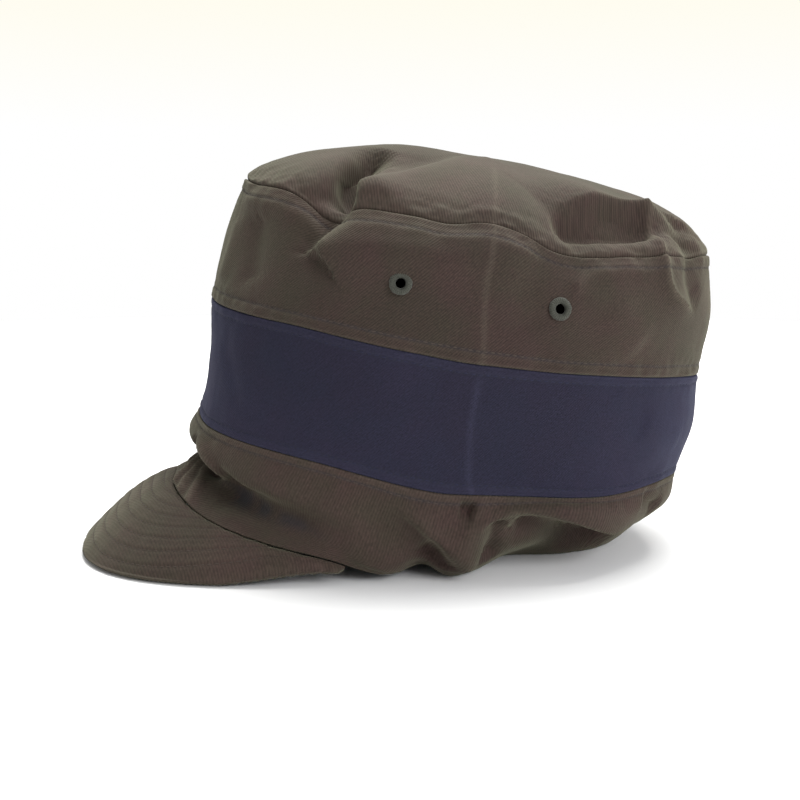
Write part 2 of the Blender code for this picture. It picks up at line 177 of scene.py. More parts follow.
def wallKeys(degrees):
    # the cloth's places at each of the wall's levels
    turn = np.radians(degrees)
    band = capCut["bandHeight"]
    seam, upper, high, middle, low, seamSag, highSag, lowSag = columnsRound(crownSections, degrees)
    rollOut, rollDrop, pinchOut, pinchDrop, hemOut, hemUp = columnsRound(lowerSections, degrees)
    outward = np.stack([np.sin(turn), -np.cos(turn), 0 * turn], axis=-1) * capCut["halfWidth"]
    foot = ringPoint(turn, low, -lowSag * band)
    hem = foot + outward * hemOut[:, None]
    hem[:, 2] = hemUp * capCut["lowerDrop"]
    drop = (hem - foot) * np.array([0.0, 0.0, 1.0])
    roll = foot + outward * rollOut[:, None] + drop * rollDrop[:, None]
    pinch = foot + outward * pinchOut[:, None] + drop * pinchDrop[:, None]
    highLevel = band * (1 - highSag)
    seamLevel = band * (1 - seamSag) + capCut["upperHeight"]
    lying = (pinch - hem) * capCut["hemLying"]
    lying[:, 2] *= np.clip(hemUp / capCut["hemRaised"], 0, 1)
    points = [
        hem,
        hem + lying,
        pinch,
        roll,
        foot,
        ringPoint(turn, middle, (highLevel - lowSag * band) / 2),
        ringPoint(turn, high, highLevel),
        ringPoint(turn, upper, highLevel + (seamLevel - highLevel) * capCut["upperFullest"]),
        ringPoint(turn, seam, seamLevel),
    ]
    return np.array(capCut["wallLevels"]), np.stack(points)


def plainSurface(angles, levels):
    # rows of places, one row for each level
    keys, points = wallKeys(angles)
    wall = smoothCurve(keys, points, levels[levels <= 3])
    share = (4 - levels[levels > 3])[:, None, None]
    rise = capCut["domeHeight"] * (1 - share ** capCut["domeFlatness"]) ** capCut["domeShoulder"]
    centre = -ovalRadius(0.0) / capCut["halfWidth"]
    axis = ringPoint(0 * angles, centre, capCut["bandHeight"] + capCut["upperHeight"])
    lean = np.array([0.0, math.sin(capCut["leanBack"]), math.cos(capCut["leanBack"])])
    offset = points[-1] - axis
    sag = (offset @ lean)[:, None] * lean
    # the seam's waves die away quickly towards the middle
    return np.concatenate([wall, axis + (offset - sag) * share + sag * share**1.5 + lean * rise])


def dentDepth(angles, levels):
    # the dents are laid out flat from the crown's middle, in half widths
    turn, level = np.meshgrid(np.radians(angles), levels)
    beyond = np.where(level > 3, 4 - level, 1 + (3 - level) * capCut["upperHeight"] / capCut["halfWidth"])
    radius = ovalRadius(turn) / capCut["halfWidth"] * beyond
    across, along = radius * np.sin(turn), -radius * np.cos(turn)
    depth = np.zeros_like(level)
    for middleAcross, middleAlong, halfWide, halfLong, turnedDeg, share in topDents:
        x, y = across - middleAcross, along - middleAlong
        way = math.radians(turnedDeg)
        longWay = x * math.cos(way) + y * math.sin(way)
        wideWay = y * math.cos(way) - x * math.sin(way)
        depth += share * np.exp(-((longWay / halfLong) ** 2) - (wideWay / halfWide) ** 2)
    for angle, height, halfWide, halfHigh, share in wallDents:
        around = (np.degrees(turn) - angle + 180) % 360 - 180
        depth += share * np.exp(-((around / halfWide) ** 2) - ((level - height) / halfHigh) ** 2)
    return depth


# how far apart the places stand that say which way the cloth faces
facingStep = {"degrees": 0.5, "level": 0.05, "highest": 3.95}


def facing(function, angles, levels):
    look = facingStep
    high, low = np.minimum(levels + look["level"], look["highest"]), np.maximum(levels - look["level"], 0)
    across = function(angles + look["degrees"], levels) - function(angles - look["degrees"], levels)
    normal = np.cross(across, function(angles, high) - function(angles, low))
    return normal / np.linalg.norm(normal, axis=-1, keepdims=True)


def surface(angles, levels):
    inward = -facing(plainSurface, angles, np.minimum(levels, facingStep["highest"]))
    depth = capCut["domeHeight"] * dentDepth(angles, levels)[..., None]
    points = plainSurface(angles, levels) + inward * depth
    points[..., 2] = np.maximum(points[..., 2], 0)
    return points


# The solids were moved so that the whole cap's box is centred. Its band says how far.
ringPoints = surface(np.arange(80) * 4.5, np.linspace(1, 2, 4)).reshape(-1, 3)
bandLow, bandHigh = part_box("middle_band")
ringMiddle = (ringPoints.min(axis=0) + ringPoints.max(axis=0)) / 2
bandMiddle = (bandLow + bandHigh) / 2
capShift = np.array([bandMiddle.x - ringMiddle[0], bandMiddle.y - ringMiddle[1], 0])
print("cloth shape set, shifted by", [round(float(v) * 1000, 1) for v in capShift], "mm")


# the directions that softNoise draws from
waveWays = np.random.default_rng(7).normal(size=(256, 3))
waveWays /= np.linalg.norm(waveWays, axis=1, keepdims=True)


def softNoise(points, size, seed):
    # smooth waves of about that size, from -1 to 1
    flat = points.reshape(-1, 3) / size + seed * 7.3
    cell = np.floor(flat).astype(int)
    inside = flat - cell
    ease = inside**3 * (inside * (inside * 6 - 15) + 10)
    total = np.zeros(len(flat))
    for corner in np.ndindex(2, 2, 2):
        at = cell + corner
        pick = (at[:, 0] * 73856093 ^ at[:, 1] * 19349663 ^ at[:, 2] * 83492791 ^ seed * 2654435) & 255
        part = (waveWays[pick] * (inside - corner)).sum(1)
        total += part * np.prod(np.where(corner, ease, 1 - ease), axis=1)
    return (total * 1.5).reshape(points.shape[:-1])


def smoothStep(values):
    t = np.clip(values, 0, 1)
    return t * t * (3 - 2 * t)


# How folds follow their paths: reach in metres, fades as shares of the path's length
foldLook = {
    "stepsPerStretch": 12,
    "farthest": 0.03,
    "openEnd": 0.035,
    "fade": 0.2,
    "stepFade": 0.35,
    "stepReach": 1.8,
    "wearHalf": 0.0012,
}


def nearPath(points, normals, levels, path):
    # how far each point is from a path of (angle, level) places, on which side, and how far along it
    places = np.array(path, float)
    steps = np.linspace(0, len(places) - 1, (len(places) - 1) * foldLook["stepsPerStretch"] + 1)
    line = smoothCurve(np.arange(len(places), dtype=float), places, steps)
    rows, columns = points.shape[:2]
    row = np.clip(np.interp(line[:, 1], levels, np.arange(rows)), 0, rows - 1.001)
    column = np.mod(line[:, 0], 360) / 360 * columns
    i, j = row.astype(int), column.astype(int) % columns
    k = (j + 1) % columns
    u, v = (row - i)[:, None], (column - np.floor(column))[:, None]
    lowRow = points[i, j] * (1 - v) + points[i, k] * v
    highRow = points[i + 1, j] * (1 - v) + points[i + 1, k] * v
    spine = lowRow * (1 - u) + highRow * u
    out = normals[i, j]
    along = np.gradient(spine, axis=0)
    along /= np.linalg.norm(along, axis=-1, keepdims=True)
    flat = points.reshape(-1, 3)
    away = np.full(len(flat), 9.0)  # too far to matter
    side, share = np.zeros(len(flat)), np.zeros(len(flat))
    low, high = spine.min(0) - foldLook["farthest"], spine.max(0) + foldLook["farthest"]
    close = np.nonzero(((flat > low) & (flat < high)).all(1))[0]
    if len(close):
        offset = flat[close][:, None] - spine[None]
        nearest = np.argmin((offset**2).sum(-1), axis=1)
        step = offset[np.arange(len(close)), nearest]
        forward = (step * along[nearest]).sum(-1)
        inside = (nearest > 0) & (nearest < len(spine) - 1)
        step = step - along[nearest] * (forward * inside)[:, None]
        away[close] = np.linalg.norm(step, axis=-1)
        side[close] = np.sign((np.cross(along[nearest], out[nearest]) * step).sum(-1))
        share[close] = nearest / (len(spine) - 1)
    shape = points.shape[:-1]
    return away.reshape(shape), side.reshape(shape), share.reshape(shape)


def foldHeight(points, normals, levels, folds, free):
    # how far folds lift the cloth, in metres, and where they wear it
    look = foldLook
    height, wear = np.zeros(points.shape[:-1]), np.zeros(points.shape[:-1])
    for kind, wide, rise, worn, path in folds:
        away, side, share = nearPath(points, normals, levels, path)
        # a fold dies away at its ends, except where it runs on across a seam
        fade = 1
        for place, fromEnd in ((path[0], share), (path[-1], 1 - share)):
            if min(abs(place[1] - levels[0]), abs(place[1] - levels[-1])) >= look["openEnd"]:
                fade = fade * smoothStep(fromEnd / look["stepFade" if kind == "step" else "fade"])
        spread = np.exp(-((away / wide) ** 2))
        if kind == "sharp":
            spread = np.exp(-away / wide)
        if kind == "step":
            # one side lies over the other: high on the right of the path, falling off slowly
            slow = np.exp(-((away / (wide * look["stepReach"])) ** 2))
            spread = smoothStep(0.5 + side * away / wide) * slow * free
        height += rise * spread * fade
        wear += worn * np.exp(-((away / look["wearHalf"]) ** 2)) * fade
    return height, wear


def rowPlaces(length, seams):
    # distances across a panel, close together by its seams
    look = clothLook
    places = [0.0]
    while places[-1] < length:
        ends = (places[-1], length - places[-1])
        fromSeam = min([end for end, seam in zip(ends, seams) if seam is not None] + [length])
        step = look["wideStep"] if fromSeam > look["seamZone"] else look["nearStep"]
        if fromSeam < look["edgeZone"]:
            step = look["nearStep"] * look["edgeShare"]
        places.append(places[-1] + step)
    places = np.array(places)
    return places * (length / places[-1])


# How a seam shapes the cloth beside it, in metres, how much it wears it, and how much painted shade lies
# along its stitch row
seamLook = {
    "dip": 0.0008,
    "rounding": 0.0005,
    "puff": 0.00018,
    "puffFrom": 0.0012,
    "puffTo": 0.0010,
    "groove": 0.00022,
    "grooveHalf": 0.0006,
    "pucker": 0.00050,
    "puckerSize": 0.0085,
    "puckerFrom": 0.001,
    "puckerReach": 0.009,
    "stiffReach": 0.012,
    "stiffAtSeam": 0.25,
    "stepFrom": 0.16,
    "edgeWear": 0.10,
    "edgeWornAt": 0.0006,
    "edgeWornHalf": 0.0005,
    "rowWear": 0.06,
    "rowWornAt": 0.0009,
    "rowWornHalf": 0.0008,
    # painted shade along the stitch row's groove: how dark, and its half width
    "rowPaintedShade": 0.45,
    "rowShadeHalf": 0.0005,
}


def seamHeight(away, stitched, points, seed, size):
    # the turned edge, the thick allowance up to its stitch row, the row's groove and its puckers
    look = seamLook
    edge = np.clip(1 - away / look["rounding"], 0, 1)
    dip = -look["dip"] * (1 - np.sqrt(1 - edge**2 * 0.999))
    puff = look["puff"] * smoothStep(away / look["puffFrom"])
    puff = puff * smoothStep((stitched - away) / look["puffTo"])
    groove = -look["groove"] * np.exp(-(((away - stitched) / look["grooveHalf"]) ** 2))
    waves = softNoise(points, look["puckerSize"], seed)
    waves += 0.5 * softNoise(points, look["puckerSize"] / 2.2, seed + 3)
    near = np.exp(-((away / look["puckerReach"]) ** 2)) * smoothStep(away / look["puckerFrom"])
    return dip + puff + groove + look["pucker"] * waves * near * size


def makeMesh(name, corners, faces, uvs, marks, material):
    # a smooth piece with its weave's map and, for each corner, how worn it is and how much painted shade it
    # carries
    mesh = bpy.data.meshes.new(name)
    mesh.from_pydata([tuple(p) for p in corners], [], faces)
    layer = mesh.uv_layers.new(name="weave")
    index = np.empty(len(mesh.loops), int)
    mesh.loops.foreach_get("vertex_index", index)
    layer.data.foreach_set("uv", np.asarray(uvs, np.float32)[index].ravel())
    for markName, values in zip(("wear", "paintedShade"), marks):
        attribute = mesh.attributes.new(markName, "FLOAT", "POINT")
        attribute.data.foreach_set("value", np.asarray(values, np.float32))
    mesh.materials.append(material)
    mesh.update()
    piece = bpy.data.objects.new(name, mesh)
    bpy.context.scene.collection.objects.link(piece)
    bpy.ops.object.select_all(action="DESELECT")
    bpy.context.view_layer.objects.active = piece
    piece.select_set(True)
    bpy.ops.object.mode_set(mode="EDIT")
    bpy.ops.mesh.select_all(action="SELECT")
    bpy.ops.mesh.normals_make_consistent(inside=False)
    bpy.ops.object.mode_set(mode="OBJECT")
    bpy.ops.object.shade_smooth()
    piece.select_set(False)
    return piece


def ringFaces(rows, columns, start=0, closed=True, flip=False):
    # quads between rows of corners, each row closed to a ring or left open
    faces = []
    for i in range(rows - 1):
        for j in range(columns if closed else columns - 1):
            a, b = start + i * columns + j, start + i * columns + (j + 1) % columns
            face = (a, b, b + columns, a + columns)
            faces.append(face[::-1] if flip else face)
    return faces


clothLook = {
    "columns": 600,
    "thick": 0.0012,
    "aboveFloor": 0.0003,
    "nearStep": 0.00050,
    "wideStep": 0.0011,
    "seamZone": 0.007,
    "edgeZone": 0.0013,
    "edgeShare": 0.45,
    "innerEvery": 5,
    "broadSize": 0.045,
    "broad": 0.0006,
    "crumpleSize": 0.016,
    "crumple": 0.00030,
    "grainSize": 0.0045,
    "grain": 0.00007,
    # the size of the noise that breaks up the painted shade patches
    "paintedShadeSize": 0.007,
    "hemFade": 0.35,
}


def panelCloth(cut):
    # a panel's outer side as rows of rings, with its seams, folds and wrinkles
    look, seed = clothLook, cut["seed"]
    angles = np.arange(look["columns"]) * 360 / look["columns"]
    low, high = cut["levels"]
    places = rowPlaces(cut["length"], cut["seams"])
    levels = low + (high - low) * places / cut["length"]
    points = surface(angles, levels)
    for angle, halfWide, top, up, inward in cut.get("hemLifts", []):
        under = smoothStep((top - levels[:, None]) / look["hemFade"])
        share = np.exp(-(((angles - angle) / halfWide) ** 2)) * under
        points[..., 2] += up * share
        points[..., :2] *= 1 - inward * share[..., None]
    normals = facing(surface, angles, levels)
    seams = [
        (end, stitched, (cut["length"] - places if end else places)[:, None])
        for end, stitched in enumerate(cut["seams"]) if stitched is not None
    ]
    # the thick seams hold the cloth still, and a fold with a step in it stops short of them
    sewn = seamLook
    free = np.ones(points.shape[:-1])
    for end, stitched, away in seams:
        free *= smoothStep(sewn["stiffAtSeam"] + away / sewn["stiffReach"])
    stepFree = np.clip((free - sewn["stepFrom"]) / (1 - sewn["stepFrom"]), 0, 1)
    folds, wear = foldHeight(points, normals, levels, cut["folds"], stepFree)
    lift, paintedShade = np.zeros_like(folds), np.zeros_like(folds)
    for end, stitched, away in seams:
        lift += seamHeight(away, stitched, points, seed + end, cut["pucker"])
        wear += sewn["edgeWear"] * np.exp(-(((away - sewn["edgeWornAt"]) / sewn["edgeWornHalf"]) ** 2))
        if stitched:
            # worn beside the stitch row, and painted shade along it, in the groove where the needle went in
            beside = (away - stitched + sewn["rowWornAt"]) / sewn["rowWornHalf"]
            wear += sewn["rowWear"] * np.exp(-(beside**2))
            paintedShade += sewn["rowPaintedShade"] * np.exp(-(((away - stitched) / sewn["rowShadeHalf"]) ** 2))
    loose = look["broad"] * softNoise(points, look["broadSize"], seed)
    loose += look["crumple"] * softNoise(points * cut["crumpleShape"], look["crumpleSize"], seed + 5)
    loose += look["grain"] * softNoise(points, look["grainSize"], seed + 9)
    # painted shade: dark patches along the slack valley, broken up by noise
    for angle, level, halfWide, halfHigh, share in cut.get("paintedShadePatches", []):
        spot = ((angles - angle) / halfWide) ** 2 + ((levels[:, None] - level) / halfHigh) ** 2
        paintedShade += share * np.exp(-spot) * np.clip(0.8 + 1.2 * softNoise(points, look["paintedShadeSize"], 5), 0, 1)
    return places, points + capShift, normals, folds, lift + loose * free, (wear, paintedShade)


def innerRows(count):
    # the inner side needs fewer rows, but the last one too
    rows = list(range(0, count, clothLook["innerEvery"]))
    return rows if rows[-1] == count - 1 else rows + [count - 1]


def layOut(points, places):
    # the weave's map, in metres: round the ring and across the panel
    middle = points[len(points) // 2]
    steps = np.linalg.norm(np.roll(middle, -1, axis=0) - middle, axis=-1)
    around = np.concatenate([[0], np.cumsum(steps)[:-1]])
    return np.stack(np.broadcast_arrays(around[None, :], places[:, None]), axis=-1).reshape(-1, 2)


def turned(uvs, degrees, size):
    # the panel's cloth as it was turned when it was cut; a smaller size draws the weave coarser
    way = math.radians(degrees)
    return uvs * size @ np.array([[math.cos(way), math.sin(way)], [-math.sin(way), math.cos(way)]])


def panelPiece(name, cut, look):
    # a panel's two skins joined along its edges; without an upper seam it closes at its middle
    places, points, normals, folds, lift, marks = panelCloth(cut)
    rows, columns = points.shape[:2]
    closes = cut["seams"][1] is None
    every = innerRows(rows)
    outer = points + normals * (folds + lift)[..., None]
    outer[..., 2] = np.maximum(outer[..., 2], clothLook["aboveFloor"])
    inner = (points + normals * (folds - clothLook["thick"])[..., None])[every]
    inner[..., 2] = np.maximum(inner[..., 2], clothLook["aboveFloor"] + clothLook["thick"])
    corners = np.concatenate([outer.reshape(-1, 3), inner.reshape(-1, 3)])
    if closes:
        corners = np.concatenate([corners, [outer[-1].mean(0), inner[-1].mean(0)]])
        uvs = (corners - corners[-2])[:, :2]
    else:
        uvs = layOut(points, places)
        uvs = np.concatenate([uvs, uvs.reshape(rows, columns, 2)[every].reshape(-1, 2)])
    count = rows * columns
    last, lastUnder = count - columns, count + (len(every) - 1) * columns
    middle, middleUnder = len(corners) - 2, len(corners) - 1
    faces = ringFaces(rows, columns) + ringFaces(len(every), columns, count, flip=True)
    for j in range(columns):
        k = (j + 1) % columns
        faces.append((j, k, count + k, count + j)[::-1])
        if closes:
            faces.append((last + j, last + k, middle))
            faces.append((lastUnder + k, lastUnder + j, middleUnder))
        else:
            faces.append((last + j, last + k, lastUnder + k, lastUnder + j))
    uvs = turned(uvs, cut["weaveTurn"], cut["weaveSize"])
    marks = [np.concatenate([mark.ravel(), np.zeros(len(corners) - count)]) for mark in marks]
    return makeMesh(name, corners, faces, uvs, marks, look), outer, normals, places


def hexColour(code):
    # sRGB hex to the linear values that shaders take
    parts = [int(code[i:i + 2], 16) / 255 for i in (0, 2, 4)]
    return tuple(v / 12.92 if v <= 0.04045 else ((v + 0.055) / 1.055) ** 2.4 for v in parts) + (1.0,)


def setInputs(tree, node, values):
    # each input gets a value, or a link where another node's output is given
    for socket, value in values.items():
        if isinstance(value, bpy.types.NodeSocket):
            tree.links.new(value, node.inputs[socket])
        else:
            node.inputs[socket].default_value = value


def addNode(tree, kind, inputs=None, **settings):
    node = tree.nodes.new(kind)
    for name, value in settings.items():
        setattr(node, name, value)
    setInputs(tree, node, inputs or {})
    return node


def noiseAt(tree, place, scale, detail, roughness=0.5):
    inputs = {"Vector": place, "Scale": scale, "Detail": detail, "Roughness": roughness}
    return addNode(tree, "ShaderNodeTexNoise", inputs).outputs[0]


def ranged(tree, value, low, high, toLow=0, toHigh=1):
    # a value from low to high, led to toLow to toHigh
    inputs = {"Value": value, "From Min": low, "From Max": high, "To Min": toLow, "To Max": toHigh}
    return addNode(tree, "ShaderNodeMapRange", inputs).outputs[0]


def times(tree, one, other, **settings):
    return addNode(tree, "ShaderNodeMath", {0: one, 1: other}, operation="MULTIPLY", **settings).outputs[0]


def scaled(tree, vector, scale):
    inputs = {0: vector, "Scale": scale}
    return addNode(tree, "ShaderNodeVectorMath", inputs, operation="SCALE").outputs[0]


def mixed(tree, share, one, other):
    # the first colour, led to the second by the share
    return addNode(tree, "ShaderNodeMix", {0: share, 6: one, 7: other}, data_type="RGBA").outputs[2]


def newMaterial(name):
    made = bpy.data.materials.new(name)
    made.use_nodes = True
    return made, made.node_tree, made.node_tree.nodes["Principled BSDF"]


def twillMaterial(name, look):
    # cotton twill, piece dyed: matt ribs that run slantwise, a soft sheen at glancing angles, cloudy dye
    made, tree, shader = newMaterial(name)
    uv = addNode(tree, "ShaderNodeUVMap", uv_map="weave")
    mm = scaled(tree, uv.outputs[0], 1000.0)
    slanted = addNode(tree, "ShaderNodeMapping", {"Vector": mm, "Rotation": (0, 0, look["ribTurn"])})
    ribs = addNode(
        tree, "ShaderNodeTexWave",
        {"Vector": slanted.outputs[0], "Scale": math.pi / 10 / look["ribPitch"], "Distortion": 1.5,
         "Detail": 2.0, "Detail Scale": 1.6},
        wave_type="BANDS", bands_direction="X", wave_profile="SIN",
    ).outputs[0]
    yarns = noiseAt(tree, mm, 1 / look["yarnSize"], 3.0)
    place = addNode(tree, "ShaderNodeTexCoord").outputs["Object"]
    clouds = noiseAt(tree, place, 1000 / look["cloudSize"], 4.0, 0.62)
    patches = noiseAt(tree, place, 1000 / look["patchSize"], 2.0)
    cloudPart = ranged(tree, clouds, 0.36, 0.64)
    patchPart = ranged(tree, patches, 0.35, 0.65, 0.86, 1.12)
    dyed = mixed(tree, cloudPart, hexColour(look["coolColour"]), hexColour(look["warmColour"]))
    ribPart = ranged(tree, ribs, 0, 1, 1 - look["ribContrast"], 1 + look["ribContrast"] * 0.6)
    yarnPart = ranged(tree, yarns, 0.25, 0.75, 0.68, 1.32)
    toned = scaled(tree, dyed, times(tree, times(tree, ribPart, yarnPart), patchPart))
    worn = addNode(tree, "ShaderNodeAttribute", attribute_name="wear").outputs["Fac"]
    wornPart = times(tree, worn, yarnPart, use_clamp=True)
    colour = mixed(tree, wornPart, toned, hexColour(look["wornColour"]))
    # painted shade along the stitch rows and in the lower panel's valley, mixed towards a dark colour
    paintedShade = addNode(tree, "ShaderNodeAttribute", attribute_name="paintedShade").outputs["Fac"]
    withPaintedShade = mixed(tree, paintedShade, colour, hexColour(look["paintedShadeColour"]))
    height = addNode(tree, "ShaderNodeMath", {0: ribs, 1: yarns}, operation="ADD").outputs[0]
    relief = {"Height": height, "Distance": look["ribHeight"] / 1000, "Strength": 1.0}
    bump = addNode(tree, "ShaderNodeBump", relief)
    setInputs(tree, shader, {
        "Base Color": withPaintedShade,
        "Normal": bump.outputs[0],
        "Roughness": 0.88,
        "Specular IOR Level": 0.22,
        "Sheen Weight": look["sheen"],
        "Sheen Roughness": 0.5,
        "Sheen Tint": hexColour(look["sheenColour"]),
    })
    return made


# Sizes in mm. Real twill ribs stand about 0.55 mm apart. They are drawn 0.8 mm apart, and up to 1.1 mm
# where a panel's weaveSize is smaller, so that they show.
oliveLook = {
    "ribPitch": 0.80,
    "ribTurn": math.radians(42),
    "ribHeight": 0.09,
    "ribContrast": 0.20,
    "yarnSize": 0.85,
    "cloudSize": 22,
    "patchSize": 60,
    "coolColour": "332b24",
    "warmColour": "372926",
    "wornColour": "6a6155",
    # the colour of the painted shade along stitch rows and in the valley
    "paintedShadeColour": "20212a",
    "sheen": 0.15,
    "sheenColour": "dde2bc",
}
navyLook = dict(
    oliveLook,
    ribContrast=0.08,
    ribHeight=0.06,
    coolColour="1d1d2d",
    warmColour="1f1c2c",
    wornColour="45455c",
    sheen=0.06,
    sheenColour="b4bcff",
)
olive = twillMaterial("olive brown cotton twill", oliveLook)
navy = twillMaterial("navy cotton twill", navyLook)


def threadMaterial(name, colour, sheen):
    # polyester core sewing thread: smoother than the cloth, so its crests catch small lights
    made, tree, shader = newMaterial(name)
    place = addNode(tree, "ShaderNodeTexCoord").outputs["Object"]
    part = ranged(tree, noiseAt(tree, place, 1000 / 0.9, 2.0), 0, 1, 0.7, 1.25)
    setInputs(tree, shader, {
        "Base Color": scaled(tree, hexColour(colour)[:3], part),
        "Roughness": 0.7,
        "Specular IOR Level": 0.25,
        "Sheen Weight": sheen,
    })
    return made


oliveThread = threadMaterial("olive brown sewing thread", "3c332d", 0.0)
navyThread = threadMaterial("navy sewing thread", "191930", 0.0)
eyeletThread = threadMaterial("grey green embroidery thread", "3b3c35", 0.1)
print("materials made")

stitchLook = {
    "length": 0.0019,
    "pitch": 0.0027,
    "gap": 0.0008,
    "wide": 0.00060,
    "high": 0.00045,
    "sink": 0.00004,
}


def oneStitch():
    # a stitch lying along X, made once
    bpy.ops.object.select_all(action="DESELECT")
    bpy.ops.mesh.primitive_uv_sphere_add(segments=6, ring_count=5, radius=0.5)
    stitch = bpy.context.object
    bpy.ops.object.mode_set(mode="EDIT")
    bpy.ops.mesh.select_all(action="SELECT")
    bpy.ops.transform.rotate(value=math.pi / 2, orient_axis="Y", center_override=(0, 0, 0))
    bpy.ops.transform.resize(value=(stitchLook["length"], stitchLook["wide"], stitchLook["high"]))
    bpy.ops.object.mode_set(mode="OBJECT")
    corners = np.array([v.co[:] for v in stitch.data.vertices])
    faces = [tuple(f.vertices) for f in stitch.data.polygons]
    bpy.data.objects.remove(stitch, do_unlink=True)
    return corners, faces


stitchCorners, stitchFaces = oneStitch()


def sewRows(name, rows, look):
    # stitches end to end along lines that lie on the cloth; each line has its own outward directions
    corners, faces = [], []
    for line, outward, closed in rows:
        if closed:
            line, outward = np.vstack([line, line[:1]]), np.vstack([outward, outward[:1]])
        steps = np.linalg.norm(np.diff(line, axis=0), axis=-1)
        walked = np.concatenate([[0], np.cumsum(steps)])
        count = max(1, int(walked[-1] // stitchLook["pitch"]))
        pitch = walked[-1] / count
        for i in range(count):
            ends = np.array([i, i + 1]) * pitch + np.array([0.5, -0.5]) * stitchLook["gap"]
            a, b = (np.array([np.interp(e, walked, line[:, k]) for k in range(3)]) for e in ends)
            up = np.array([np.interp(ends.mean(), walked, outward[:, k]) for k in range(3)])
            along = (b - a) / np.linalg.norm(b - a)
            across = np.cross(up, along)
            across /= np.linalg.norm(across)
            up = np.cross(along, across)
            middle = (a + b) / 2 - up * stitchLook["sink"]
            start = len(corners) * len(stitchCorners)
            corners.append(middle + stitchCorners @ np.stack([along, across, up]))
            faces += [tuple(start + v for v in face) for face in stitchFaces]
    flat = np.concatenate(corners)
    return makeMesh(name, flat, faces, np.zeros((len(flat), 2)), [], look)


def seamRows(panel, outer, normals, places, cut, look):
    # a panel's stitch rows, at its seams' distances from its two edges
    rows = []
    for end, stitched in enumerate(cut["seams"]):
        if stitched:
            nearest = int(np.argmin(np.abs(places - (places[-1] - stitched if end else stitched))))
            rows.append((outer[nearest], normals[nearest], True))
    return sewRows(panel.name.replace("cloth", "stitches"), rows, look)


pieces = []


def finishPiece(piece, nodes):
    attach(piece, "root")
    if nodes:
        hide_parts(*nodes)
    pieces.append(piece)


# The navy band. A panel's seams say how far in from its lower and upper edge the stitches run: 0 for a seam
# without a stitch row, None where there is no seam.
bandCut = {
    "levels": (1.0, 2.0),
    "length": 0.046,
    "seams": (0.0034, 0.0034),
    "crumpleShape": (1, 1, 1.6),
    "weaveTurn": 0,
    "weaveSize": 1.0,
    "pucker": 0.8,
    "seed": 11,
    "folds": [
        # kind, width, rise, wear, path of (angle, level)
        ("sharp", 0.0016, 0.0003, 0.12, [(88, 1.95), (88, 1.82), (88, 1.50), (90, 1.12), (91, 1.02)]),
        ("soft", 0.0060, 0.0010, 0.0, [(132, 1.60), (140, 1.50), (150, 1.40)]),
        ("soft", 0.0050, -0.0006, 0.0, [(20, 1.80), (26, 1.50), (30, 1.20)]),
    ],
}
band, bandOuter, bandNormals, bandPlaces = panelPiece("middle_band_cloth", bandCut, navy)
finishPiece(band, ["middle_band"])
bandStitches = seamRows(band, bandOuter, bandNormals, bandPlaces, bandCut, navyThread)
finishPiece(bandStitches, [])
print("navy band made")

# The upper panel in olive, with its eyelets
upperCut = {
    "levels": (2.0, 3.0),
    "length": 0.048,
    "seams": (0.0047, 0.0045),
    "crumpleShape": (1, 1, 1),
    "weaveTurn": 0,
    "weaveSize": 0.9,
    "pucker": 1.5,
    "seed": 23,
    "folds": [
        # kind, width, rise, wear, path of (angle, level)
        ("sharp", 0.0016, 0.0003, 0.12, [(86, 2.99), (86, 2.80), (86, 2.54), (88, 2.12), (88, 2.01)]),
        ("soft", 0.0035, 0.0016, 0.10,
         [(8, 2.88), (16, 2.88), (26, 2.88), (34, 2.87), (38, 2.85), (42, 2.80)]),
        ("soft", 0.0055, -0.0036, 0.0, [(44, 2.99), (43, 2.90), (42, 2.80), (41, 2.70), (42, 2.60)]),
        ("soft", 0.0095, 0.0054, 0.0,
         [(45, 2.58), (46, 2.64), (53, 2.70), (62, 2.72), (74, 2.76), (90, 2.80), (100, 2.78)]),
        ("soft", 0.0028, 0.0008, 0.08,
         [(46, 2.82), (54, 2.87), (66, 2.89), (80, 2.89), (94, 2.88), (104, 2.88)]),
        ("sharp", 0.0030, 0.0030, 0.25, [(134, 2.99), (134, 2.92), (134, 2.78), (137, 2.66), (146, 2.52)]),
        ("soft", 0.0060, -0.0026, 0.0, [(146, 2.98), (145, 2.90), (144, 2.78), (148, 2.62)]),
        ("soft", 0.0032, 0.0014, 0.08, [(132, 2.89), (124, 2.89), (115, 2.87), (110, 2.78), (110, 2.64)]),
        ("soft", 0.0070, -0.0020, 0.0, [(22, 2.82), (24, 2.50), (27, 2.20)]),
        ("soft", 0.0060, 0.0012, 0.0, [(12, 2.75), (13, 2.45), (12, 2.15)]),
        ("soft", 0.0070, -0.0012, 0.0, [(96, 2.70), (98, 2.50), (100, 2.30)]),
        ("soft", 0.0080, 0.0012, 0.0, [(118, 2.62), (122, 2.42), (128, 2.22)]),
    ],
}
upper, upperOuter, upperNormals, upperPlaces = panelPiece("upper_panel_cloth", upperCut, olive)

eyeletPlaces = {
    # angle, share of the panel's height
    "eyelet_left_front": (66, 0.50),
    "eyelet_left_rear": (105, 0.55),
    "eyelet_right_front": (294, 0.50),
    "eyelet_right_rear": (255, 0.55),
}
eyeletLook = {
    "outer": 0.0042,
    "hole": 0.0018,
    "cut": 0.0030,
    "rise": 0.0011,
    "roundedTo": 1.25,
    "tuck": 0.0016,
    "deepest": 0.0014,
    "ridge": 0.00030,
    "stitches": 30,
    "perStitch": 6,
    "rows": 9,
}


def eyeletFrame(angle, share):
    # its middle on the cloth as it lies, and the way it faces
    row = int(np.argmin(np.abs(upperPlaces / upperPlaces[-1] - share)))
    column = int(round(angle / 360 * clothLook["columns"]))
    out = Vector(upperNormals[row, column])
    turn = out.to_track_quat("Z", "Y").to_matrix().to_4x4()
    return Matrix.Translation(Vector(upperOuter[row, column])) @ turn


